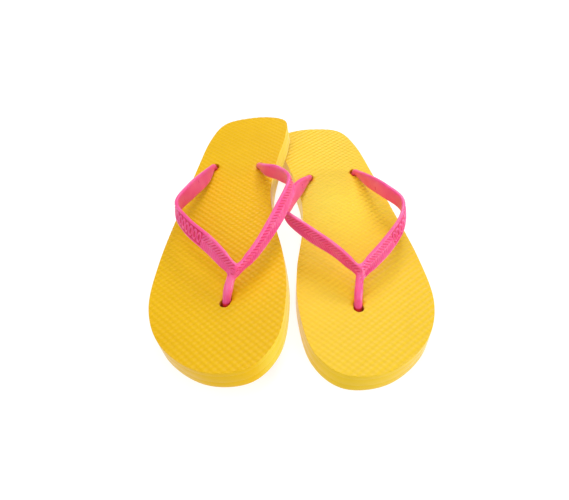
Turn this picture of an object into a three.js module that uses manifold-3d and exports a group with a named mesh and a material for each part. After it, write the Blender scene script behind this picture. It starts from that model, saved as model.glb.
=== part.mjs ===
// A pair of flip flops with foam soles and one-piece moulded Y straps, as they lie together on a floor:
// the left one is flat, and the right one leans on it with the inner edge of its heel.
// Millimetres, +Z up. The toes point to -Y, so the wearer's right flip flop lies on the -X side.
// Each flip flop is drawn in its own sole frame: x to the medial (big toe) side, y to the heel, and z up
// from the tread. The left one is the right one's mirror image in x, apart from how its strap is bent.
import * as THREE from 'three';
import { mergeVertices } from 'three/addons/utils/BufferGeometryUtils.js';
import Module from 'manifold-3d';

const wasm = await Module();
wasm.setup();

// ---- driving dimensions ----

const outsoleThickness = 5.5;       // the bottom rubber sheet
const midsoleThickness = 7;         // the foam sheet in the middle
const footbedThickness = 4;         // the textured top sheet
const soleThickness = outsoleThickness + midsoleThickness + footbedThickness;
const sheetGap = 0.3;               // taken off the top of each lower sheet, where the glue line is

const bendTop = soleThickness - 2;      // height at which a stem's slope would meet the hole's axis
const bendDrop = 5.7;               // from there down to where the stem is upright
const plugRadius = 8;               // mushroom plug under the sole
const plugThickness = 2.6;
const plugHeight = 1.2;             // underside of the plug above the floor
const recessRadius = 9.2;           // pocket in the outsole for the plug
const recessDepth = 4.4;
const strapClearance = 0.35;        // between the strap and everything that it passes through

const beyond = 1;                   // how far a cut reaches past the surface that it opens

const mitre = 2;                    // how far each arm runs on past the middle of the Y
const bandThickness = 3.4;          // strap arm, at the middle of its width
const bandRoundness = 0.6;          // 1 is an oval section, and lower is squarer
const stemNeck = 1.8;               // radius where a heel stem starts inside its arm
const stemShoulder = 2.1;           // radius at the arm's tip

const rightPlace = { x: -36.9, y: -2.2, turn: -7.2, roll: 10, pitch: 2.2 };    // leans on the left one
const leftPlace = { x: 37.6, y: 3.4, turn: 13.8, roll: 0, pitch: 0 };          // lies flat

// The sole's outline seen from above: the toe end first, then up the medial side to the heel and back.
const soleOutline = [
  [4, -129.8], [33, -126.8], [48, -105], [48.5, -70], [41.5, -37], [29.5, -3], [21.5, 30], [20.5, 64],
  [22.5, 98], [20.5, 120], [8, 128], [-13, 129], [-35.5, 121], [-44, 96], [-46, 55], [-47, 5], [-47, -45],
  [-42, -85], [-25, -113.5],
];
const outlineSteps = 5;             // straight edges between two outline points

// The three strap holes, at the same places in both soles: the round hole and the strap's stem inside it.
const toeHole = { at: [9.4, -79.5], radius: 3.7, stem: 2.8 };
const medialHole = { at: [7, 61.5], radius: 3.1, stem: 2.1 };
const lateralHole = { at: [-31, 61.5], radius: 3.1, stem: 2.1 };
const holes = [toeHole, medialHole, lateralHole];

// Strap arms, from the middle of the Y to the hole behind it. Each row is a point of the arm's centre line,
// the band's width there, and how many degrees its upper edge leans in from upright, over the foot.
const rightArms = {
  medial: [
    [17.2, -63.5, 28.8, 9.2, -6], [28.3, -44, 31.3, 11.2, 5], [39, -15, 35.6, 12.6, 16], [43, 13, 36, 13, 8],
    [31, 30.5, 31.6, 13, -4], [16, 44.5, 24.6, 10.8, 2], [7.8, 57.5, 18.9, 4.2, 0],
  ],
  lateral: [
    [15.2, -64, 30.3, 12.5, 25], [-5, -44.5, 33, 13, 32], [-25.5, -27, 34.5, 13, 27], [-38.8, -8, 34, 13, 12],
    [-34.7, 14, 31.2, 12.6, -6], [-31.3, 37, 24.4, 11, -12], [-31, 57.5, 18.9, 4.2, -6],
  ],
};
const leftArms = {
  medial: [
    [3.6, -59, 28.1, 10.5, 0], [15.5, -39.5, 31.6, 12.2, 0], [31, -20, 34.2, 13.4, 3], [42, 0, 35, 13.4, -14],
    [35.5, 17, 31.8, 12.8, -26], [20.8, 40.5, 24.8, 11, -30], [8.4, 57.5, 18.9, 4.2, -16],
  ],
  lateral: [
    [1.8, -59.5, 28.8, 12.5, 22], [-20.8, -43, 32.8, 13, 28], [-38.3, -25, 35.3, 13, 18],
    [-46, -5, 34.4, 13, 7], [-39, 16, 32.2, 13, 0], [-34.2, 38.5, 24.8, 11.2, 4],
    [-31.4, 57.5, 18.9, 4.2, 12],
  ],
};

// Toe posts, from inside the middle of the Y to where they bend over into the toe hole: points and radii.
const rightPost = [[13.8, -62.6, 27.6, 2.6], [12.8, -67.1, 25.3, 3.2], [11.2, -73.2, 20.8, 3.1]];
const leftPost = [[2.6, -58.6, 26.2, 2.6], [4.7, -63.3, 24.5, 3.1], [8, -72.8, 20, 2.9]];
const rightMiddle = { at: [15.6, -63, 29], turn: 12 };   // the thick middle of the Y
const leftMiddle = { at: [3, -59.4, 27.6], turn: -4 };
const middleRadii = [3.7, 5.2, 2.9];                       // across, along and through the Y's middle
const middleSlope = 62;                                    // how far its face tips towards the toes, degrees

// How finely the curved surfaces are cut into flat ones.
const armSteps = 30;
const armCorners = 10;
const rodSides = 12;
const bendSteps = 4;
const discSides = 32;
const ballSides = 16;

// ---- geometry helpers ----

const radians = THREE.MathUtils.degToRad;

function toSolid(geometry) {
  const bare = geometry.clone();
  bare.deleteAttribute('normal');
  bare.deleteAttribute('uv');
  const merged = mergeVertices(bare, 1e-4);
  return new wasm.Manifold(new wasm.Mesh({
    numProp: 3,
    vertProperties: new Float32Array(merged.attributes.position.array),
    triVerts: new Uint32Array(merged.index.array),
  }));
}

function toGeometry(solid) {
  const mesh = solid.getMesh();
  const geometry = new THREE.BufferGeometry();
  geometry.setAttribute('position', new THREE.BufferAttribute(new Float32Array(mesh.vertProperties), 3));
  geometry.setIndex(new THREE.BufferAttribute(new Uint32Array(mesh.triVerts), 1));
  geometry.computeVertexNormals();
  return geometry;
}

// A closed body through rings of equally many points, with a flat cap at each end.
function loft(rings) {
  const sides = rings[0].length;
  const positions = rings.flat().flatMap((p) => [p.x, p.y, p.z]);
  const faces = [];
  for (let ring = 0; ring + 1 < rings.length; ring += 1) {
    for (let side = 0; side < sides; side += 1) {
      const a = ring * sides + side;
      const b = ring * sides + ((side + 1) % sides);
      faces.push(a, b, b + sides, a, b + sides, a + sides);
    }
  }
  const last = (rings.length - 1) * sides;
  for (let side = 1; side + 1 < sides; side += 1) {
    faces.push(0, side + 1, side, last, last + side, last + side + 1);
  }
  const geometry = new THREE.BufferGeometry();
  geometry.setAttribute('position', new THREE.Float32BufferAttribute(positions, 3));
  geometry.setIndex(faces);
  return toSolid(geometry);
}

function sheet(bottom, top) {
  const curve = new THREE.CatmullRomCurve3(
    soleOutline.map(([x, y]) => new THREE.Vector3(x, y, 0)), true, 'catmullrom', 0.5);
  const corners = curve.getPoints(soleOutline.length * outlineSteps).slice(0, -1);
  const shape = new THREE.Shape(corners.map((p) => new THREE.Vector2(p.x, p.y)));
  const geometry = new THREE.ExtrudeGeometry(shape, { depth: top - bottom, bevelEnabled: false });
  return toSolid(geometry.translate(0, 0, bottom));
}

function disc([x, y], radius, bottom, top) {
  const geometry = new THREE.CylinderGeometry(radius, radius, top - bottom, discSides);
  geometry.rotateX(Math.PI / 2).translate(x, y, (bottom + top) / 2);
  return toSolid(geometry);
}

// ---- strap ----

// One arm: a flat band on edge, whose section is a rounded oblong.
function arm(rows, side) {
  const path = new THREE.CatmullRomCurve3(
    rows.map(([x, y, z]) => new THREE.Vector3(x, y, z)), false, 'catmullrom', 0.5);
  const form = new THREE.CatmullRomCurve3(
    rows.map(([, , , width, lean]) => new THREE.Vector3(width, lean, 0)), false, 'catmullrom', 0.5);
  const rings = [];
  for (let step = 0; step <= armSteps; step += 1) {
    const centre = path.getPoint(step / armSteps);
    const along = path.getTangent(step / armSteps);
    const { x: width, y: lean } = form.getPoint(step / armSteps);
    const upright = new THREE.Vector3(0, 0, 1).projectOnPlane(along).normalize();
    const inward = new THREE.Vector3().crossVectors(along, upright).multiplyScalar(side);
    const across = upright.clone().multiplyScalar(Math.cos(radians(lean)))
      .addScaledVector(inward, Math.sin(radians(lean)));
    const through = new THREE.Vector3().crossVectors(along, across);
    const ring = [];
    for (let corner = 0; corner < armCorners; corner += 1) {
      const turn = (2 * Math.PI * (corner + 0.5)) / armCorners;
      const rounded = (value) => Math.sign(value) * Math.abs(value) ** bandRoundness;
      ring.push(centre.clone()
        .addScaledVector(across, (width / 2) * rounded(Math.cos(turn)))
        .addScaledVector(through, (bandThickness / 2) * rounded(Math.sin(turn))));
    }
    rings.push(ring);
  }
  const past = path.getTangent(0).multiplyScalar(-mitre);
  rings.unshift(rings[0].map((corner) => corner.clone().add(past)));
  return loft(rings);
}

// A round rod along points that each carry a radius, thicker all round by grow.
function rod(points, grow) {
  const path = new THREE.CatmullRomCurve3(
    points.map(([x, y, z]) => new THREE.Vector3(x, y, z)), false, 'centripetal');
  const radii = new THREE.CatmullRomCurve3(
    points.map(([, , , radius], index) => new THREE.Vector3(index, radius, 0)), false, 'catmullrom', 0.5);
  const steps = points.length * 2;
  const rings = [];
  for (let step = 0; step <= steps; step += 1) {
    const centre = path.getPoint(step / steps);
    const along = path.getTangent(step / steps);
    const radius = radii.getPoint(step / steps).y + grow;
    const across = new THREE.Vector3(1, 0, 0).projectOnPlane(along).normalize();
    const through = new THREE.Vector3().crossVectors(along, across);
    const ring = [];
    for (let side = 0; side < rodSides; side += 1) {
      const turn = (2 * Math.PI * side) / rodSides;
      ring.push(centre.clone()
        .addScaledVector(across, radius * Math.cos(turn))
        .addScaledVector(through, radius * Math.sin(turn)));
    }
    rings.push(ring);
  }
  return loft(rings);
}

// The stem that carries on from an arm or post, bends over into its hole and goes straight down to the plug.
function stem(start, hole, grow) {
  const [x, y] = hole.at;
  const [fromX, fromY, fromZ] = start[start.length - 1];
  const bend = new THREE.QuadraticBezierCurve3(
    new THREE.Vector3(fromX, fromY, fromZ),
    new THREE.Vector3(x, y, bendTop),
    new THREE.Vector3(x, y, bendTop - bendDrop));
  const bendPoints = bend.getPoints(bendSteps).slice(1).map((p) => [p.x, p.y, p.z, hole.stem]);
  return rod([...start, ...bendPoints, [x, y, plugHeight + plugThickness / 2 - grow, hole.stem]], grow);
}

// A stem starts inside its arm, a third of the way back to the arm's last row but one.
function armEnd(rows) {
  const [x, y, z] = rows[rows.length - 1];
  const before = rows[rows.length - 2];
  const start = [x, y, z].map((value, axis) => value + (before[axis] - value) / 3);
  return [[...start, stemNeck], [x, y, z, stemShoulder]];
}

function stems(arms, post, grow) {
  return stem(post, toeHole, grow)
    .add(stem(armEnd(arms.medial), medialHole, grow))
    .add(stem(armEnd(arms.lateral), lateralHole, grow));
}

function middle({ at, turn }) {
  const geometry = new THREE.SphereGeometry(1, ballSides, ballSides / 2).scale(...middleRadii);
  geometry.rotateX(radians(middleSlope)).rotateZ(radians(turn)).translate(...at);
  return toSolid(geometry);
}

function strap(arms, post, centre) {
  let solid = arm(arms.medial, -1).add(arm(arms.lateral, 1)).add(middle(centre)).add(stems(arms, post, 0));
  for (const hole of holes) {
    solid = solid.add(disc(hole.at, plugRadius, plugHeight, plugHeight + plugThickness));
  }
  return solid;
}

// ---- one flip flop ----

function flipFlop(side, arms, post, centre, place, colours) {
  let passage = stems(arms, post, strapClearance);
  for (const hole of holes) {
    passage = passage.add(disc(hole.at, hole.radius, -beyond, soleThickness + beyond));
  }
  let outsole = sheet(0, outsoleThickness - sheetGap).subtract(passage);
  for (const hole of holes) {
    outsole = outsole.subtract(disc(hole.at, recessRadius, -beyond, recessDepth));
  }
  const midsoleTop = outsoleThickness + midsoleThickness - sheetGap;
  const solids = {
    outsole,
    midsole: sheet(outsoleThickness, midsoleTop).subtract(passage),
    footbed: sheet(outsoleThickness + midsoleThickness, soleThickness).subtract(passage),
    strap: strap(arms, post, centre),
  };
  const group = new THREE.Group();
  for (const [name, solid] of Object.entries(solids)) {
    const sided = side === 'left' ? solid.mirror([1, 0, 0]) : solid;
    const material = new THREE.MeshStandardMaterial({ color: colours[name], roughness: 0.6, metalness: 0 });
    const mesh = new THREE.Mesh(toGeometry(sided), material);
    mesh.name = `${side}_${name}`;
    group.add(mesh);
  }
  group.rotation.set(radians(place.pitch), radians(-place.roll), radians(place.turn), 'ZXY');
  group.position.set(place.x, place.y, 0);
  return group;
}

// ---- the pair ----

const colours = { outsole: 0xd9a520, midsole: 0xe8b62c, footbed: 0xf2bd2e, strap: 0xe8558c };

const pair = new THREE.Group();
const rightFlipFlop = flipFlop('right', rightArms, rightPost, rightMiddle, rightPlace, colours);
const leftFlipFlop = flipFlop('left', leftArms, leftPost, leftMiddle, leftPlace, colours);
pair.add(rightFlipFlop, leftFlipFlop);

// Each flip flop is lowered until it touches the floor, then the pair is centred over the origin.
for (const flop of [rightFlipFlop, leftFlipFlop]) {
  flop.updateMatrixWorld(true);
  flop.position.z -= new THREE.Box3().setFromObject(flop, true).min.z;
}
pair.updateMatrixWorld(true);
const box = new THREE.Box3().setFromObject(pair, true);
const middleOfBox = box.getCenter(new THREE.Vector3());
pair.position.set(-middleOfBox.x, -middleOfBox.y, 0);

export default pair;
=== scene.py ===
# A pair of yellow flip flops with pink moulded straps: their looks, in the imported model's frame.
# The left one lies flat and the right one leans on it. Each flip flop is shaped in its own sole frame, in
# millimetres: x to the medial (big toe) side, y to the heel and z up from the tread. The left one is the
# right one's mirror image in x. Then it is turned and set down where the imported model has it, in metres.
import math
import bpy
import numpy as np
from mathutils import Matrix, Vector
from mathutils.kdtree import KDTree


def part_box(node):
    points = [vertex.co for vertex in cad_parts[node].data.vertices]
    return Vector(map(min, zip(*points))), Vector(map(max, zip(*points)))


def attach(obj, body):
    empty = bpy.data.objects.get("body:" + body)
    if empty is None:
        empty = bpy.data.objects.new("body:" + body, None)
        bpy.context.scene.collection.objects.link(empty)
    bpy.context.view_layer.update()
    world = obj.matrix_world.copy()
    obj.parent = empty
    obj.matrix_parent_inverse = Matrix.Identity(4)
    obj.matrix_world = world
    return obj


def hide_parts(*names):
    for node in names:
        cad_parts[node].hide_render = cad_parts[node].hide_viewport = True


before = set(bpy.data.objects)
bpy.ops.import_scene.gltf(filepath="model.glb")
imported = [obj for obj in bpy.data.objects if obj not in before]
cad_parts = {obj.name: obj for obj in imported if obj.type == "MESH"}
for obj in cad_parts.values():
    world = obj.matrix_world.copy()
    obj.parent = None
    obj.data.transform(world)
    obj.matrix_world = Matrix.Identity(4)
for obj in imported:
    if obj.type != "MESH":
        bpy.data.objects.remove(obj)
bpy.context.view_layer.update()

MM = 0.001

# ---- the part's driving dimensions, in millimetres ----

OUTSOLE_TOP = 5.5
MIDSOLE_TOP = 12.5
SOLE_TOP = 16.5
SHEET_GAP = 0.3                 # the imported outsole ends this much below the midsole

BEND_TOP = SOLE_TOP - 2         # where a stem turns down into its hole
BEND_DROP = 5.7                 # and how much further down it is upright
PLUG_RADIUS = 8.0
PLUG_BOTTOM = 1.2
PLUG_THICKNESS = 2.6
PLUG_ROUND = 0.8
POCKET_RADIUS = 9.2
POCKET_TOP = 4.4

BAND_THICKNESS = 3.4
MITRE = 2.0                     # how far each arm runs on past the middle of the Y
STEM_NECK, STEM_SHOULDER = 1.8, 2.1  # a rear stem's radii inside its arm and at the arm's end

# The strap holes: x, y, the hole's radius, and the radius of the strap's stem inside it.
TOE_HOLE = (9.4, -79.5, 3.7, 2.8)
MEDIAL_HOLE = (7.0, 61.5, 3.1, 2.1)
LATERAL_HOLE = (-31.0, 61.5, 3.1, 2.1)
HOLES = (TOE_HOLE, MEDIAL_HOLE, LATERAL_HOLE)

SOLE_OUTLINE = [
    (4, -129.8), (33, -126.8), (48, -105), (48.5, -70), (41.5, -37), (29.5, -3), (21.5, 30), (20.5, 64),
    (22.5, 98), (20.5, 120), (8, 128), (-13, 129), (-35.5, 121), (-44, 96), (-46, 55), (-47, 5),
    (-47, -45), (-42, -85), (-25, -113.5),
]
PACKED_OUTLINE_STEPS = 5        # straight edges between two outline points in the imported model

# What differs between the two. "turn", "roll" and "pitch" are how each lies, and "grain" is how its sheet
# was turned when the sole was cut from it, all in degrees. "painted_sheen" is how much pale cream is painted
# on
# its foam in place of light: all over (the flat one looks lighter under the lamps), as a painted highlight
# under the arch, and on the wall that faces the right-hand lamp, which is the medial one where "lit_side" is
# 1.
# An arm's rows are x, y, z, the band's width, and its upper edge's lean in degrees. A post's rows are x, y,
# z and a radius.
FLOPS = {
    "right": {
        "turn": -7.2, "roll": 10.0, "pitch": 2.2, "grain": 3.6, "painted_sheen": (0, 0, 0.55), "lit_side": 1,
        "medial": [
            (17.2, -63.5, 28.8, 9.2, -6), (28.3, -44, 31.3, 11.2, 5), (39, -15, 35.6, 12.6, 16),
            (43, 13, 36, 13, 8), (31, 30.5, 31.6, 13, -4), (16, 44.5, 24.6, 10.8, 2),
            (7.8, 57.5, 18.9, 4.2, 0),
        ],
        "lateral": [
            (15.2, -64, 30.3, 12.5, 25), (-5, -44.5, 33, 13, 32), (-25.5, -27, 34.5, 13, 27),
            (-38.8, -8, 34, 13, 12), (-34.7, 14, 31.2, 12.6, -6), (-31.3, 37, 24.4, 11, -12),
            (-31, 57.5, 18.9, 4.2, -6),
        ],
        "post": [(13.8, -62.6, 27.6, 2.6), (12.8, -67.1, 25.3, 3.2), (11.2, -73.2, 20.8, 3.1)],
        "middle": (15.6, -63, 29),
        "middle_turn": 12,
    },
    "left": {
        "turn": 13.8, "roll": 0.0, "pitch": 0.0, "grain": 11.3, "painted_sheen": (0.20, 0.35, 0.4), "lit_side": -1,
        "medial": [
            (3.6, -59, 28.1, 10.5, 0), (15.5, -39.5, 31.6, 12.2, 0), (31, -20, 34.2, 13.4, 3),
            (42, 0, 35, 13.4, -14), (35.5, 17, 31.8, 12.8, -26), (20.8, 40.5, 24.8, 11, -30),
            (8.4, 57.5, 18.9, 4.2, -16),
        ],
        "lateral": [
            (1.8, -59.5, 28.8, 12.5, 22), (-20.8, -43, 32.8, 13, 28), (-38.3, -25, 35.3, 13, 18),
            (-46, -5, 34.4, 13, 7), (-39, 16, 32.2, 13, 0), (-34.2, 38.5, 24.8, 11.2, 4),
            (-31.4, 57.5, 18.9, 4.2, 12),
        ],
        "post": [(2.6, -58.6, 26.2, 2.6), (4.7, -63.3, 24.5, 3.1), (8, -72.8, 20, 2.9)],
        "middle": (3, -59.4, 27.6),
        "middle_turn": -4,
    },
}
MIDDLE_RADII = (3.7, 5.2, 2.9)  # half axes of the lump where the arms and the post meet
MIDDLE_SLOPE = 62               # how far it leans towards the toes, in degrees

# ---- surface detail, in millimetres ----

OUTLINE_STEPS = 16              # edges between two outline points here
EDGE_ROUND = 0.5                # rounded top and bottom edges of the sole
SEAM_ROUND = 0.12               # hairline where two sheets are glued
TOP_INSET, TREAD_INSET = 0.02, 0.01  # the textured faces stay this much inside the plain ones

RIB_PITCH, CROSS_PITCH = 3.7, 3.55  # the footbed's bumps: deep ribs, crossed by fainter ones
RIB_CROSSING = 80.4             # degrees between the two, either side of the grain
RIB_SHARE = 0.58                # the deep ribs' share of the depth
BUMP_DEPTH = 0.45               # where the foot presses; more under the arch
ARCH_DEPTH = 0.8                # how much more of it there, as a share
ARCH_MIDDLE, ARCH_REACH = 15.0, 50.0
BUMP_STEP = 0.5
BUMP_FIELD = (60, 150)          # the textured sheet's half width and half length
HEIGHT_SLACK = 0.1              # a point lower than the deepest bump by this isn't on the textured face
FACING_UP = 0.45                # a face of the footbed whose normal rises by more than this belongs to it

MOUTH_DEPTH = 0.9               # how far the footbed is drawn down at a strap hole
MOUTH_INNER = 2.5               # all of it this near to the middle of the stem
MOUTH_REACH = 1.8               # and less and less over about this much more
PASSAGE_CLEARANCE = 0.45        # the foam's passage for a stem is this much wider all round
HOLE_PAST, POCKET_PAST = 4.0, 3.0  # the tools that cut holes and pockets run on this far past the sole
CUT_ROUND = 0.4
STEM_PULL = 0.7                 # each stem is pulled this far towards the sole's middle

HOLE_SHADE_DEPTH = (0.5, 1.6)        # how far below the footbed's top a hole's painted shade begins, and is full
HOLE_SHADE_END = 2.0                 # it fades out over this much above the pocket
SHADE_REACH = 6.0               # how far round a hole's middle its inside gets painted shade
SHEEN_MIDDLE, SHEEN_REACH = 24.0, 36.0  # the painted highlight under the arch: its middle's y, and its reach
SHEEN_FACING = (0.6, 1.0)        # the cosines to the lit side over which a wall gets its painted sheen

TREAD_PITCH = 7.0               # chevron grooves of the tread
TREAD_SLOPE = 0.45              # how steeply the chevrons point
TREAD_DEPTH = 0.9
TREAD_WIDTH = 0.3               # share of the pitch that is groove
TREAD_STEP = 0.7
TREAD_FIELD = (60, 140)         # the grooved sheet's half width and half length
TREAD_BORDER = (4.0, 5.5)       # the grooves begin over this distance from the sole's edge
POCKET_BORDER = (2.0, 3.5)      # and over this distance from a pocket's edge

BAND_POWERS = (0.5, 0.62)       # how square the band's section is across and through it; 1 is an ellipse
BAND_RINGS, BAND_SIDES = 181, 56
BAND_PLACES = 1201              # places along an arm where its surface detail is looked up
MIDDLE_RINGS, MIDDLE_SIDES = 25, 40
MIDDLE_POLE = 88                # the lump's two poles are cut flat at this latitude
STRAP_VOXEL = 0.36
SMOOTH_WEIGHT = 0.5
SMOOTH_ROUNDS = 3               # takes the voxels' steps away
BLEND_ROUNDS = 90               # melts the arms and the post together round the Y
BLEND_REACH = (8.0, 13.0)       # all of it this near to the Y, and none beyond

FACE_COSINES = (0.35, 0.8)      # the band's texture comes in as its skin turns outward
FACE_WIDTH = 1.1                # and goes no further across than this share of the half width
ARM_LEAD = (0.02, 0.3)          # how much nearer than the other arm a point has to be to its own
BAND_END = (0.66, 0.74)         # where the texture ends, as shares of the arm's length
FLOOR_DEPTH = 0.4               # the textured band between the strap's two lips lies this much lower
LIP_RISE = (0.72, 0.84)         # shares of the half width over which the lip rises
TWILL_PITCH = 2.7               # herringbone pressed into that band
TWILL_DEPTH = 0.36
TWILL_SLOPE = 1.0
TWILL_SPINE = (0.02, 0.09)      # its plain middle line, as shares of the half width
BADGE_COUNT = 7                 # plain raised oval rings on each lateral arm
BADGE_PITCH = 4.8
BADGE_HALF = (1.7, 3.3)         # to the middle of each ring's raised line
BADGE_LINE = 0.32               # half the line's width, as a share of the ring's half axes
BADGE_CREST = 0.3               # share of the line that is flat on top
BADGE_HEIGHT = 0.85
BADGE_DROP = 0.45               # the band sinks a little more round the rings
BADGE_START = 0.25              # how far along the arm the row of rings starts, as a share of it

# ---- colours ----

YELLOW = (0.81, 0.49, 0.004)
YELLOW_DEEP = (0.77, 0.45, 0.003)
YELLOW_GROOVE_SHADE = (0.71, 0.365, 0.003)  # painted shade in the grooves between the footbed's bumps
PAINTED_SHEEN_CREAM = (0.84, 0.75, 0.08)      # the pale cream painted where light washes the foam out
HOLE_PAINTED_SHADE = (0.75, 0.16, 0.006)  # painted shade on the foam down in a strap hole, reddened by a painted reflection of the strap
PINK = (0.87, 0.095, 0.325)
# deeper pink for random clouds, and painted shade down in the strap's texture
PINK_DEEP_AND_GROOVE_SHADE = (0.70, 0.009, 0.10)
PINK_PALE = (0.95, 0.30, 0.50)
STEM_PAINTED_SHADE = (0.7, 0.03, 0.03)   # painted shade on the strap's stem down in its hole
GROOVE_SHADE_DEPTHS = (-0.78, -0.45)  # painted shade: the strap goes from its deep pink to its plain one between these heights
SHARP_ANGLE = 40                # the sole's edges that turn by more degrees than this are shaded sharp


# ---- curves and meshes ----

def spline(points, places, closed=False):
    """Positions and directions on a uniform Catmull-Rom curve, at places counted in points."""
    points = np.array(points, float)
    if closed:
        padded = np.vstack([points[-1:], points, points[:2]])
    else:
        padded = np.vstack([2 * points[0] - points[1], points, 2 * points[-1] - points[-2]])
    segments = len(points) if closed else len(points) - 1
    segment = np.clip(np.floor(places).astype(int), 0, segments - 1)
    t = (places - segment)[:, None]
    before, start, end, after = (padded[segment + index] for index in range(4))
    leave, arrive = (end - before) / 2, (after - start) / 2
    position = ((2 * t**3 - 3 * t**2 + 1) * start + (t**3 - 2 * t**2 + t) * leave
                + (3 * t**2 - 2 * t**3) * end + (t**3 - t**2) * arrive)
    direction = ((6 * t**2 - 6 * t) * start + (3 * t**2 - 4 * t + 1) * leave
                 + (6 * t - 6 * t**2) * end + (3 * t**2 - 2 * t) * arrive)
    return position, direction


def unit(vectors):
    return vectors / np.linalg.norm(vectors, axis=-1, keepdims=True)


def smoothstep(low, high, value):
    t = np.clip((value - low) / (high - low), 0, 1)
    return t * t * (3 - 2 * t)


def outline(steps):
    """The sole's outline and its directions, with this many steps between two of its points."""
    places = np.arange(len(SOLE_OUTLINE) * steps) / steps
    return spline(SOLE_OUTLINE, places, closed=True)


def make_object(name, points, faces):
    mesh = bpy.data.meshes.new(name)
    mesh.from_pydata(np.asarray(points).tolist(), [], faces)
    mesh.update()
    made = bpy.data.objects.new(name, mesh)
    bpy.context.scene.collection.objects.link(made)
    return made


def loft(name, rings):
    """A closed body through rings of equally many points, with a flat cap at each end."""
    rings = np.array(rings)
    count, sides = rings.shape[:2]
    faces = []
    for ring in range(count - 1):
        for side in range(sides):
            here = ring * sides + side
            beside = ring * sides + (side + 1) % sides
            faces.append((here, beside, beside + sides, here + sides))
    last = (count - 1) * sides
    faces.append(tuple(range(sides - 1, -1, -1)))
    faces.append(tuple(range(last, last + sides)))
    return make_object(name, rings.reshape(-1, 3), faces)


def rounded_levels(bottom, top, bottom_round, top_round, steps):
    """Heights and insets up a wall whose two edges are rounded over."""
    quarter = np.radians(np.linspace(0, 90, steps))
    lower = [(bottom + bottom_round * (1 - math.sin(angle)), bottom_round * (1 - math.cos(angle)))
             for angle in quarter[::-1]]
    upper = [(top - top_round * (1 - math.sin(angle)), top_round * (1 - math.cos(angle)))
             for angle in quarter]
    return lower + upper


def read(items, name):
    """A property of each vertex or face that has three numbers, as rows."""
    values = np.empty(len(items) * 3)
    items.foreach_get(name, values)
    return values.reshape(-1, 3)


def read_points(obj):
    return read(obj.data.vertices, "co")


def write_points(obj, points):
    obj.data.vertices.foreach_set("co", points.ravel())
    obj.data.update()


def store(obj, name, values):
    """Keeps a value for each point, for the materials to read."""
    attribute = obj.data.attributes.new(name, "FLOAT", "POINT")
    attribute.data.foreach_set("value", np.asarray(values, dtype=np.float32))


def joined(name, objects):
    """One object of several closed bodies, which may overlap."""
    points, faces, first = [], [], 0
    for part in objects:
        own = read_points(part)
        points.append(own)
        faces += [tuple(first + corner for corner in face.vertices) for face in part.data.polygons]
        first += len(own)
        bpy.data.objects.remove(part)
    return make_object(name, np.vstack(points), faces)


def settle(obj):
    """Applies the object's modifiers to its mesh."""
    shown = obj.evaluated_get(bpy.context.evaluated_depsgraph_get())
    mesh = bpy.data.meshes.new_from_object(shown)
    obj.modifiers.clear()
    old, obj.data = obj.data, mesh
    bpy.data.meshes.remove(old)


def combine(target, tool, operation):
    """Cuts or trims a body with another one, which is used up."""
    change = target.modifiers.new("combine", "BOOLEAN")
    change.operation = operation
    change.solver = "MANIFOLD"
    change.object = tool
    settle(target)
    bpy.data.objects.remove(tool)


def relax(points, edges, weight, rounds):
    """Moves each point towards the middle of its neighbours, by its weight."""
    count = np.bincount(edges.ravel(), minlength=len(points))[:, None]
    for _ in range(rounds):
        total = np.empty_like(points)
        for axis in range(3):
            total[:, axis] = (
                np.bincount(edges[:, 0], points[edges[:, 1], axis], len(points))
                + np.bincount(edges[:, 1], points[edges[:, 0], axis], len(points)))
        points = points + weight[:, None] * (total / count - points)
    return points


# ---- sole ----

def prism(name, bottom, top, bottom_round, top_round):
    """The sole's outline as a solid from bottom to top, with its two edges rounded over."""
    edge, direction = outline(OUTLINE_STEPS)
    along = unit(direction)
    outward = np.stack([along[:, 1], -along[:, 0]], 1)
    rings = []
    for height, inset in rounded_levels(bottom, top, bottom_round, top_round, 5):
        ring = edge - outward * inset
        rings.append(np.column_stack([ring, np.full(len(ring), height)]))
    return loft(name, rings)


def relief_slab(name, turn, step, height_at, back, reach):
    """A closed slab whose one face follows height_at(x, y), and whose other is flat at the height back."""
    u = np.arange(-reach[0], reach[0] + step, step)
    v = np.arange(-reach[1], reach[1] + step, step)
    across, along = np.meshgrid(u, v)
    cos, sin = math.cos(math.radians(turn)), math.sin(math.radians(turn))
    x, y = across * cos - along * sin, across * sin + along * cos
    face = np.stack([x, y, height_at(across, along, x, y)], -1).reshape(-1, 3)
    columns, rows = len(u), len(v)
    index = np.arange(rows * columns).reshape(rows, columns)
    quads = np.stack([index[:-1, :-1], index[:-1, 1:], index[1:, 1:], index[1:, :-1]], -1).reshape(-1, 4)
    border = np.concatenate([index[0, :-1], index[:-1, -1], index[-1, :0:-1], index[:0:-1, 0]])
    rim = face[border].copy()
    rim[:, 2] = back
    first = len(face)
    faces = quads.tolist()
    for here in range(len(border)):
        after = (here + 1) % len(border)
        faces.append((border[after], border[here], first + here, first + after))
    faces.append(tuple(range(first + len(border) - 1, first - 1, -1)))
    if back > face[0, 2]:
        faces = [corners[::-1] for corners in faces]
    return make_object(name, np.vstack([face, rim]), faces)


def hole_distance(x, y, holes):
    """How far a place is from the middle of the nearest hole."""
    return np.min([np.hypot(x - hole[0], y - hole[1]) for hole in holes], axis=0)


def footbed_height(mouth_places):
    """The height of the footbed's face, textured all over and drawn down at its three mouths."""
    def ribs(across, along, turn, pitch):
        turn = math.radians(turn)
        return np.sin(2 * math.pi * (along * math.cos(turn) - across * math.sin(turn)) / pitch)

    def height(across, along, x, y):
        bumps = (RIB_SHARE * ribs(across, along, -RIB_CROSSING / 2, RIB_PITCH)
                 + (1 - RIB_SHARE) * ribs(across, along, RIB_CROSSING / 2, CROSS_PITCH))
        beyond = np.maximum(hole_distance(x, y, mouth_places) - MOUTH_INNER, 0)
        drawn = MOUTH_DEPTH * np.exp(-(beyond / MOUTH_REACH)**2)
        depth = BUMP_DEPTH * (1 + ARCH_DEPTH * np.exp(-((y - ARCH_MIDDLE) / ARCH_REACH)**2))
        return SOLE_TOP - TOP_INSET - depth * (1 - bumps) / 2 - drawn

    return height


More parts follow.
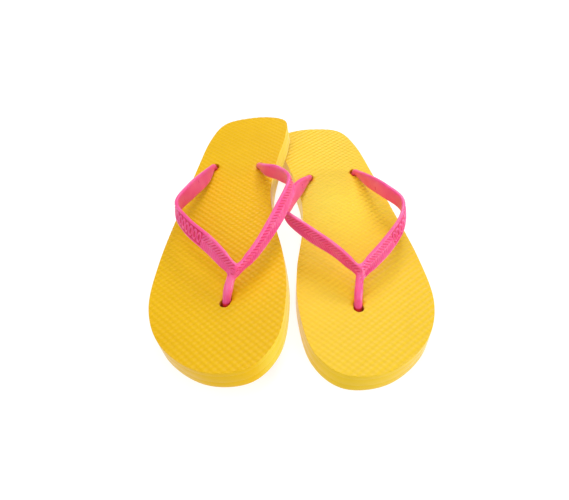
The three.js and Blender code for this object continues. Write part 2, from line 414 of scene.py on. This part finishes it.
def tread_height(across, along, x, y):
    """The height of the outsole's underside, with its chevron grooves."""
    edge, _ = outline(4)
    inner = np.full(x.shape, np.inf)
    for edge_x, edge_y in edge:
        np.minimum(inner, np.hypot(x - edge_x, y - edge_y), out=inner)
    place = (along + TREAD_SLOPE * np.abs(across)) / TREAD_PITCH
    groove = smoothstep(1 - TREAD_WIDTH, 1 - TREAD_WIDTH / 2, 2 * np.abs(place - np.round(place)))
    keep = smoothstep(*TREAD_BORDER, inner)
    keep *= smoothstep(*POCKET_BORDER, hole_distance(x, y, HOLES) - POCKET_RADIUS)
    return TREAD_INSET + TREAD_DEPTH * groove * keep


def stem_path(start, hole):
    """A stem's points and radii: from its arm or post, over into its hole, and down into the plug."""
    x, y, _, radius = hole
    y -= math.copysign(STEM_PULL, y)
    begin = np.array(start[-1][:3])
    corner, end = np.array([x, y, BEND_TOP]), np.array([x, y, BEND_TOP - BEND_DROP])
    points = [tuple(point) for point in start]
    for t in (0.25, 0.5, 0.75, 1.0):
        bend = (1 - t)**2 * begin + 2 * t * (1 - t) * corner + t**2 * end
        points.append((*bend, radius))
    points.append((x, y, PLUG_BOTTOM + PLUG_THICKNESS / 2, radius))
    return points


def tube(name, points, grow, sides=28, per_point=5):
    """A round bar along points that each have a radius, which may be grown."""
    places = np.linspace(0, len(points) - 1, (len(points) - 1) * per_point + 1)
    path, direction = spline(points, places)
    along = unit(direction[:, :3])
    across = unit(np.array([1.0, 0, 0]) - along * along[:, :1])
    through = np.cross(along, across)
    turn = 2 * math.pi * np.arange(sides) / sides
    radius = (path[:, 3] + grow)[:, None, None]
    rings = (path[:, None, :3] + radius * (across[:, None] * np.cos(turn)[:, None]
                                           + through[:, None] * np.sin(turn)[:, None]))
    return loft(name, rings)


def disc(name, centre, radius, bottom, top, edge, sides=64):
    """A round plate with rounded edges."""
    turn = 2 * math.pi * np.arange(sides) / sides
    rings = []
    for height, inset in rounded_levels(bottom, top, edge, edge, 6):
        reach = radius - inset
        rings.append(np.column_stack([centre[0] + reach * np.cos(turn), centre[1] + reach * np.sin(turn),
                                      np.full(sides, height)]))
    return loft(name, rings)


def arm_start(rows):
    """The narrow end of an arm, where its stem begins."""
    end, before = np.array(rows[-1][:3], float), np.array(rows[-2][:3], float)
    return [(*(end + (before - end) / 3), STEM_NECK), (*end, STEM_SHOULDER)]


def stem_paths(flop):
    """The paths of the three stems: the toe post's, and the ones at the ends of the two arms."""
    starts = (flop["post"], arm_start(flop["medial"]), arm_start(flop["lateral"]))
    return [stem_path(start, hole) for start, hole in zip(starts, HOLES)]


def stem_tubes(flop, grow):
    return [tube("stem", path, grow) for path in stem_paths(flop)]


def mouths(flop):
    """Where each stem's middle crosses the top of the footbed."""
    places = []
    for path in stem_paths(flop):
        rising = np.array(path)[::-1]
        places.append((np.interp(SOLE_TOP, rising[:, 2], rising[:, 0]),
                       np.interp(SOLE_TOP, rising[:, 2], rising[:, 1])))
    return places


def sole_sheets(flop):
    """The sole's three sheets, each cut through for the strap's stems and plugs."""
    footbed = prism("footbed", MIDSOLE_TOP, SOLE_TOP, SEAM_ROUND, EDGE_ROUND)
    top = relief_slab("top", flop["grain"], BUMP_STEP, footbed_height(mouths(flop)), 0.0, BUMP_FIELD)
    combine(footbed, top, "INTERSECT")
    midsole = prism("midsole", OUTSOLE_TOP, MIDSOLE_TOP, SEAM_ROUND, SEAM_ROUND)
    outsole = prism("outsole", 0, OUTSOLE_TOP, EDGE_ROUND, SEAM_ROUND)
    combine(outsole, relief_slab("tread", 0, TREAD_STEP, tread_height, SOLE_TOP, TREAD_FIELD), "INTERSECT")
    for sheet in (footbed, midsole, outsole):
        for passage in stem_tubes(flop, PASSAGE_CLEARANCE):
            combine(sheet, passage, "DIFFERENCE")
        for hole in HOLES:
            bore = disc("hole", hole, hole[2], -HOLE_PAST, SOLE_TOP + HOLE_PAST, CUT_ROUND)
            combine(sheet, bore, "DIFFERENCE")
    for hole in HOLES:
        pocket = disc("pocket", hole, POCKET_RADIUS, -POCKET_PAST, POCKET_TOP, CUT_ROUND)
        combine(outsole, pocket, "DIFFERENCE")
    return {"footbed": footbed, "midsole": midsole, "outsole": outsole}


# ---- strap ----

def arm_frame(rows, side, places):
    """Centre, across, outward and width of an arm at places counted in rows; side is 1 for lateral."""
    path, direction = spline(rows, places)
    along = unit(direction[:, :3])
    upright = unit(np.array([0, 0, 1.0]) - along * along[:, 2:3])
    inward = np.cross(along, upright) * side
    lean = np.radians(path[:, 4:5])
    across = upright * np.cos(lean) + inward * np.sin(lean)
    outward = np.cross(along, across) * -side
    return path[:, :3], across, outward, path[:, 3]


def arm(name, rows, side):
    """A flat band that twists along its rows, and runs on a little past the middle of the Y."""
    def rounded(value, power):
        return np.sign(value) * np.abs(value)**power

    places = np.linspace(0, len(rows) - 1, BAND_RINGS)
    centre, across, outward, width = arm_frame(rows, side, places)
    turn = -side * 2 * math.pi * np.arange(BAND_SIDES) / BAND_SIDES
    wide, deep = rounded(np.cos(turn), BAND_POWERS[0]), rounded(np.sin(turn), BAND_POWERS[1])
    rings = (centre[:, None] + across[:, None] * (width / 2)[:, None, None] * wide[:, None]
             + outward[:, None] * (BAND_THICKNESS / 2) * deep[:, None])
    past = MITRE * unit(centre[0] - centre[1])
    return loft(name, np.concatenate([rings[:1] + past, rings]))


def middle_ellipsoid(flop):
    """The lump where the two arms and the toe post meet."""
    slope = Matrix.Rotation(math.radians(MIDDLE_SLOPE), 4, "X")
    turn = Matrix.Rotation(math.radians(flop["middle_turn"]), 4, "Z")
    turned = np.array((turn @ slope).to_3x3())
    rings = []
    spin = 2 * math.pi * np.arange(MIDDLE_SIDES) / MIDDLE_SIDES
    for rise in np.radians(np.linspace(-MIDDLE_POLE, MIDDLE_POLE, MIDDLE_RINGS)):
        ball = np.column_stack([np.cos(rise) * np.cos(spin), np.cos(rise) * np.sin(spin),
                                np.full(MIDDLE_SIDES, np.sin(rise))])
        rings.append((ball * MIDDLE_RADII) @ turned.T + flop["middle"])
    return loft("middle", rings)


def arm_places(rows, side, points, normals):
    """Where points lie on an arm.

    That is how far along it and across it, in mm and as shares of its length and half width, the arm's
    outward direction there, whether the point is on its outer face, and how far off its middle it is.
    """
    places = np.linspace(0, len(rows) - 1, BAND_PLACES)
    centre, across, outward, width = arm_frame(rows, side, places)
    length = np.concatenate([[0], np.cumsum(np.linalg.norm(np.diff(centre, axis=0), axis=1))])
    tree = KDTree(len(centre))
    for index, point in enumerate(centre):
        tree.insert(point, index)
    tree.balance()
    nearest = np.array([tree.find(point)[1] for point in points])
    offset = points - centre[nearest]
    across_mm = np.einsum("ij,ij->i", offset, across[nearest])
    out = np.einsum("ij,ij->i", offset, outward[nearest])
    share = np.abs(across_mm / (width[nearest] / 2))
    beyond = np.sqrt(np.maximum((offset**2).sum(1) - across_mm**2 - out**2, 0))
    facing = np.einsum("ij,ij->i", normals, outward[nearest])
    return {
        "along": length[nearest],
        "along_share": length[nearest] / length[-1],
        "badge_start": BADGE_START * length[-1],
        "across": across_mm,
        "across_share": share,
        "outward": outward[nearest],
        "face": smoothstep(*FACE_COSINES, facing) * (share < FACE_WIDTH) * (np.abs(out) < BAND_THICKNESS),
        "distance": np.maximum(share, np.abs(out) / (BAND_THICKNESS / 2)) + beyond / 2,
    }


def badges(along, across):
    """A row of rings, by how far points are along the row and across it: the row itself and its lines."""
    run = smoothstep(-1, 0, along) * (1 - smoothstep(0, 1, along - BADGE_COUNT * BADGE_PITCH))
    place = along % BADGE_PITCH - BADGE_PITCH / 2
    radius = np.hypot(place / BADGE_HALF[0], across / BADGE_HALF[1])
    return run, (1 - smoothstep(BADGE_CREST, 1, np.abs(radius - 1) / BADGE_LINE)) * run


def arm_relief(flop, points, normals):
    """How far the strap's face sinks and rises at each point, as a shift and as a height."""
    medial = arm_places(flop["medial"], -1, points, normals)
    lateral = arm_places(flop["lateral"], 1, points, normals)
    shift = np.zeros_like(points)
    height = np.zeros(len(points))
    for here, other in ((medial, lateral), (lateral, medial)):
        chosen = here["face"] * smoothstep(*ARM_LEAD, other["distance"] - here["distance"])
        band = 1 - smoothstep(*LIP_RISE, here["across_share"])
        band *= 1 - smoothstep(*BAND_END, here["along_share"])
        slant = here["along"] + TWILL_SLOPE * np.abs(here["across"])
        twill = np.sin(2 * math.pi * slant / TWILL_PITCH) * smoothstep(*TWILL_SPINE, here["across_share"])
        badge_run = badge = 0
        if here is lateral:
            badge_run, badge = badges(here["along"] - here["badge_start"], here["across"])
        relief = band * (-FLOOR_DEPTH + TWILL_DEPTH * twill * (1 - badge_run)
                         - BADGE_DROP * badge_run + BADGE_HEIGHT * badge) * chosen
        shift += here["outward"] * relief[:, None]
        height += relief
    return shift, height


def strap(flop):
    """The strap as one moulding: overlapping bodies are skinned, smoothed, and pressed with a texture."""
    bodies = [arm("medial", flop["medial"], -1), arm("lateral", flop["lateral"], 1), middle_ellipsoid(flop)]
    bodies += stem_tubes(flop, 0.0)
    bodies += [disc("plug", hole, PLUG_RADIUS, PLUG_BOTTOM, PLUG_BOTTOM + PLUG_THICKNESS,
                    PLUG_ROUND)
               for hole in HOLES]
    band = joined("strap", bodies)
    change = band.modifiers.new("skin", "REMESH")
    change.mode = "VOXEL"
    change.voxel_size = STRAP_VOXEL
    settle(band)
    points = read_points(band)
    edges = np.empty(len(band.data.edges) * 2, int)
    band.data.edges.foreach_get("vertices", edges)
    edges = edges.reshape(-1, 2)
    away = np.linalg.norm(points - np.array(flop["middle"]), axis=1)
    points = relax(points, edges, np.full(len(points), SMOOTH_WEIGHT), SMOOTH_ROUNDS)
    points = relax(points, edges, SMOOTH_WEIGHT * (1 - smoothstep(*BLEND_REACH, away)), BLEND_ROUNDS)
    write_points(band, points)
    shift, height = arm_relief(flop, points, read(band.data.vertices, "normal"))
    write_points(band, points + shift)
    store(band, "relief", height)
    return band


# ---- materials ----

def material(name, colour, roughness):
    """A new material and its shader, whose colour and roughness may be wired to something finer later."""
    made = bpy.data.materials.new(name)
    made.use_nodes = True
    shader = made.node_tree.nodes["Principled BSDF"]
    shader.inputs["Base Color"].default_value = (*colour, 1)
    shader.inputs["Roughness"].default_value = roughness
    return made, shader


def node(tree, kind, **inputs):
    """A new node whose inputs have these values, each named in plain lower case."""
    made = tree.nodes.new(kind)
    for key, value in inputs.items():
        made.inputs[key.replace("_", " ").title()].default_value = value
    return made


def own_space(tree):
    """Places in the object's own space, so that its texture moves with it."""
    return node(tree, "ShaderNodeTexCoord").outputs["Object"]


def stored(tree, name):
    """The value that was stored for each point under this name."""
    made = node(tree, "ShaderNodeAttribute")
    made.attribute_name = name
    return made.outputs["Fac"]


def noise(tree, where, scale, detail):
    made = node(tree, "ShaderNodeTexNoise", scale=scale, detail=detail)
    tree.links.new(where, made.inputs["Vector"])
    return made.outputs["Fac"]


def ramp(tree, factor, low, high, start, end):
    """A value from start to end as the factor goes from low to high."""
    made = node(tree, "ShaderNodeMapRange", from_min=low, from_max=high, to_min=start, to_max=end)
    tree.links.new(factor, made.inputs["Value"])
    return made.outputs["Result"]


def mix(tree, factor, first, second):
    """The first colour where the factor is 0, and the second where it is 1."""
    made = node(tree, "ShaderNodeMix")
    made.data_type = "RGBA"
    sockets = {socket.identifier: socket for socket in made.inputs}
    tree.links.new(factor, sockets["Factor_Float"])
    for key, value in (("A_Color", first), ("B_Color", second)):
        if isinstance(value, tuple):
            sockets[key].default_value = (*value, 1)
        else:
            tree.links.new(value, sockets[key])
    return {socket.identifier: socket for socket in made.outputs}["Result_Color"]


def bump(tree, height, distance, strength, onto=None):
    made = node(tree, "ShaderNodeBump", distance=distance, strength=strength)
    tree.links.new(height, made.inputs["Height"])
    if onto is not None:
        tree.links.new(onto, made.inputs["Normal"])
    return made.outputs["Normal"]


def painted_light(tree, colour):
    """The foam's colour with painted light: pale cream where light washes it out, and painted shade down in
    the strap holes.
    """
    colour = mix(tree, stored(tree, "painted_sheen"), colour, PAINTED_SHEEN_CREAM)
    return mix(tree, stored(tree, "hole_shade"), colour, HOLE_PAINTED_SHADE)


def foam_material(name, light, deep, groove_shade):
    """Closed-cell foam rubber: fine pores, faint clouding, and painted shade between its bumps."""
    made, shader = material(name, light, 0.5)
    shader.inputs["Specular IOR Level"].default_value = 0.2
    tree = made.node_tree
    where = own_space(tree)
    cloud = ramp(tree, noise(tree, where, 28, 3), 0.3, 0.7, 0, 1)
    colour = mix(tree, cloud, light, deep)
    pores = ramp(tree, noise(tree, where, 1400, 2), 0.62, 0.8, 0, 0.3)
    colour = mix(tree, pores, colour, tuple(value * 0.75 for value in deep))
    # painted shade in the grooves between the bumps
    colour = mix(tree, ramp(tree, stored(tree, "relief"), -BUMP_DEPTH, 0, 0.4, 0), colour, groove_shade)
    tree.links.new(painted_light(tree, colour), shader.inputs["Base Color"])
    tree.links.new(ramp(tree, noise(tree, where, 90, 4), 0.3, 0.7, 0.35, 0.42), shader.inputs["Roughness"])
    normal = bump(tree, noise(tree, where, 1800, 3), 0.0001, 0.3)
    normal = bump(tree, noise(tree, where, 260, 2), 0.0002, 0.12, normal)
    tree.links.new(normal, shader.inputs["Normal"])
    return made


def cut_material(name, light, deep):
    """The same foam where the die cut it: smoother, with faint upright streaks and opened cells."""
    made, shader = material(name, light, 0.36)
    shader.inputs["Specular IOR Level"].default_value = 0.05
    shader.inputs["Sheen Weight"].default_value = 0.4
    shader.inputs["Sheen Roughness"].default_value = 0.3
    tree = made.node_tree
    where = own_space(tree)
    cloud = ramp(tree, noise(tree, where, 34, 3), 0.3, 0.7, 0, 1)
    colour = mix(tree, cloud, light, deep)
    cells = ramp(tree, noise(tree, where, 1100, 3), 0.6, 0.78, 0, 0.35)
    colour = mix(tree, cells, colour, tuple(value * 0.8 for value in deep))
    tree.links.new(painted_light(tree, colour), shader.inputs["Base Color"])
    tree.links.new(ramp(tree, noise(tree, where, 120, 3), 0.3, 0.7, 0.3, 0.42), shader.inputs["Roughness"])
    upright = node(tree, "ShaderNodeMapping", scale=(1, 1, 0.06))
    tree.links.new(where, upright.inputs["Vector"])
    streaks = noise(tree, upright.outputs["Vector"], 420, 3)
    normal = bump(tree, streaks, 0.0001, 0.12)
    normal = bump(tree, noise(tree, where, 1500, 2), 0.00008, 0.25, normal)
    tree.links.new(normal, shader.inputs["Normal"])
    return made


def strap_material(name, pink, deep, pale):
    """Soft moulded rubber with a satin skin, painted shade down in its texture, and with a pale bloom."""
    made, shader = material(name, pink, 0.36)
    shader.inputs["Subsurface Weight"].default_value = 0.5
    shader.inputs["Subsurface Radius"].default_value = (1.0, 0.3, 0.4)
    shader.inputs["Subsurface Scale"].default_value = 3 * MM
    tree = made.node_tree
    where = own_space(tree)
    # painted shade down in the strap's texture
    colour = mix(tree, ramp(tree, stored(tree, "relief"), *GROOVE_SHADE_DEPTHS, 1, 0), pink, deep)
    cloud = ramp(tree, noise(tree, where, 60, 3), 0.35, 0.7, 0, 0.15)
    colour = mix(tree, cloud, colour, deep)
    bloom = ramp(tree, noise(tree, where, 75, 1), 0.5, 0.75, 0, 0.25)
    colour = mix(tree, bloom, colour, pale)
    # painted shade on the stem down in its hole
    colour = mix(tree, stored(tree, "hole_shade"), colour, STEM_PAINTED_SHADE)
    tree.links.new(colour, shader.inputs["Base Color"])
    tree.links.new(ramp(tree, noise(tree, where, 240, 3), 0.3, 0.7, 0.27, 0.36), shader.inputs["Roughness"])
    tree.links.new(bump(tree, noise(tree, where, 1500, 2), 0.00005, 0.3), shader.inputs["Normal"])
    return made


# ---- the pair ----

def placement(side, flop):
    """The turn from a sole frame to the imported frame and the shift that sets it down, in metres."""
    mirror = np.diag([-1.0 if side == "left" else 1.0, 1, 1])
    rotation = (Matrix.Rotation(math.radians(flop["turn"]), 3, "Z")
                @ Matrix.Rotation(math.radians(flop["pitch"]), 3, "X")
                @ Matrix.Rotation(math.radians(-flop["roll"]), 3, "Y"))
    turned = np.array(rotation) @ mirror
    edge, _ = outline(PACKED_OUTLINE_STEPS)
    corners = np.vstack([np.column_stack([edge, np.full(len(edge), z)])
                         for z in (0, OUTSOLE_TOP - SHEET_GAP)]) @ turned.T * MM
    low = np.array(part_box(side + "_outsole")[0])
    return turned, low - corners.min(axis=0)


def place(obj, side, turned, shift):
    """Sets a piece down from its sole frame; the left one was mirrored, so its faces are turned over."""
    points = read_points(obj) @ turned.T * MM + shift
    write_points(obj, points)
    if side == "left":
        obj.data.flip_normals()


def shade(obj, finishes, angle):
    """Gives a piece its finishes by the numbers its faces have, and smooths it up to an angle, if any."""
    index = np.empty(len(obj.data.polygons), np.int32)
    obj.data.polygons.foreach_get("material_index", index)
    obj.data.materials.clear()
    for finish in finishes:
        obj.data.materials.append(finish)
    obj.data.polygons.foreach_set("material_index", np.minimum(index, len(finishes) - 1))
    obj.data.shade_smooth()
    if angle:
        obj.data.set_sharp_from_angle(angle=math.radians(angle))


def top_relief(footbed):
    """How far the footbed's face is down at each point of it, and 0 on its walls and underside."""
    heights = read_points(footbed)[:, 2]
    deepest = BUMP_DEPTH * (1 + ARCH_DEPTH)
    on_top = heights > SOLE_TOP - deepest - HEIGHT_SLACK
    return np.where(on_top, heights - SOLE_TOP, 0)


def painted_hole_shade(points):
    """How much painted shade each point gets for being down in a strap hole, from 0 at its rim to 1."""
    depth = smoothstep(*HOLE_SHADE_DEPTH, SOLE_TOP - points[:, 2])
    depth *= smoothstep(POCKET_TOP, POCKET_TOP + HOLE_SHADE_END, points[:, 2])
    return depth * (hole_distance(points[:, 0], points[:, 1], HOLES) < SHADE_REACH)


def painted_sheen_amount(points, normals, flop):
    """How much pale cream is painted on in place of light: all over, as a highlight under the arch, and on
    the wall towards the lamp.
    """
    everywhere, arch, wall = flop["painted_sheen"]
    away = np.hypot(points[:, 0], points[:, 1] - SHEEN_MIDDLE) / SHEEN_REACH
    lit_wall = smoothstep(*SHEEN_FACING, normals[:, 0] * flop["lit_side"])
    return everywhere + arch * np.exp(-away**2) + wall * lit_wall


def paint_top(footbed):
    """The footbed's second finish goes on the faces that look up, before it is turned into place."""
    faces = footbed.data.polygons
    looks_up = read(faces, "normal")[:, 2] > FACING_UP
    faces.foreach_set("material_index", looks_up.astype(np.int32))


footbed_face = foam_material("footbed_foam", YELLOW, YELLOW_DEEP, YELLOW_GROOVE_SHADE)
cut_edge = cut_material("cut_foam", YELLOW, YELLOW_DEEP)
strap_rubber = strap_material("strap_rubber", PINK, PINK_DEEP_AND_GROOVE_SHADE, PINK_PALE)
finishes = {
    "footbed": [cut_edge, footbed_face],
    "midsole": [cut_edge],
    "outsole": [cut_edge],
    "strap": [strap_rubber],
}

for side, flop in FLOPS.items():
    pieces = sole_sheets(flop)
    pieces["strap"] = strap(flop)
    store(pieces["footbed"], "relief", top_relief(pieces["footbed"]))
    for piece in pieces.values():
        points = read_points(piece)
        # painted shade down in the strap holes
        store(piece, "hole_shade", painted_hole_shade(points))
        # pale cream painted where light washes the foam out
        store(piece, "painted_sheen", painted_sheen_amount(points, read(piece.data.vertices, "normal"), flop))
    paint_top(pieces["footbed"])
    turned, shift = placement(side, flop)
    for kind, piece in pieces.items():
        piece.name = piece.data.name = f"{side}_{kind}_skin"
        place(piece, side, turned, shift)
        shade(piece, finishes[kind], None if kind == "strap" else SHARP_ANGLE)
        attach(piece, f"{side}_flip_flop")
        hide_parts(f"{side}_{kind}")


# ---- floor, light and camera, in metres and degrees ----

FLOOR_HALF = 4.0
FLOOR_GREY = (0.3, 0.3, 0.3)    # it takes soft shadows,
FLOOR_GLOW = 0.8                # and glows up to white away from them

# Each light's name, place, size and power.
LIGHTS = [
    ("top", (-0.06, 0.5, 1.2), 1.1, 7.2),
    ("window", (0.17, 0.75, 0.68), 0.35, 2.8),
    ("right", (1.6, -0.25, 0.3), 0.6, 15.0),
    ("left", (-0.85, -0.75, 0.9), 1.3, 4.0),
    ("front_fill", (-0.1, -0.6, 1.2), 2.4, 11.0),
]
LIGHT_AIM = (0, 0, 0.02)
SKY_STRENGTH = 0.22

CAMERA_PLACE = (-0.0061, -0.30792, 0.3085)
CAMERA_TILT = 45.79             # down from level
CAMERA_ROLL = 1.71
SENSOR_WIDTH, LENS = 36.0, 35.4369  # in millimetres


def floor():
    made, shader = material("floor_white", FLOOR_GREY, 0.9)
    shader.inputs["Emission Color"].default_value = (1, 1, 1, 1)
    shader.inputs["Emission Strength"].default_value = FLOOR_GLOW
    corners = [(FLOOR_HALF * x, FLOOR_HALF * y, 0) for x, y in ((-1, -1), (1, -1), (1, 1), (-1, 1))]
    plane = make_object("floor", corners, [(0, 1, 2, 3)])
    plane.data.materials.append(made)


def area_light(name, where, size, power):
    data = bpy.data.lights.new(name, "AREA")
    data.shape = "DISK"
    data.size = size
    data.energy = power
    lamp = bpy.data.objects.new(name, data)
    lamp.location = where
    lamp.rotation_euler = (Vector(LIGHT_AIM) - Vector(where)).to_track_quat("-Z", "Y").to_euler()
    bpy.context.scene.collection.objects.link(lamp)


def sky():
    world = bpy.data.worlds.new("studio")
    world.use_nodes = True
    background = world.node_tree.nodes["Background"]
    background.inputs["Color"].default_value = (1, 1, 1, 1)
    background.inputs["Strength"].default_value = SKY_STRENGTH
    bpy.context.scene.world = world


def camera():
    tilt, roll = math.radians(CAMERA_TILT), math.radians(CAMERA_ROLL)
    forward = Vector((0, math.cos(tilt), -math.sin(tilt)))
    level_up = Vector((0, math.sin(tilt), math.cos(tilt)))
    right = Vector((1, 0, 0)) * math.cos(roll) + level_up * math.sin(roll)
    up = -Vector((1, 0, 0)) * math.sin(roll) + level_up * math.cos(roll)
    data = bpy.data.cameras.new("camera")
    data.sensor_width = SENSOR_WIDTH
    data.lens = LENS
    view = bpy.data.objects.new("camera", data)
    turned = Matrix((right, up, -forward)).transposed()
    view.matrix_world = Matrix.Translation(CAMERA_PLACE) @ turned.to_4x4()
    bpy.context.scene.collection.objects.link(view)
    bpy.context.scene.camera = view


floor()
for light in LIGHTS:
    area_light(*light)
sky()
bpy.context.scene.view_settings.view_transform = "Standard"
camera()
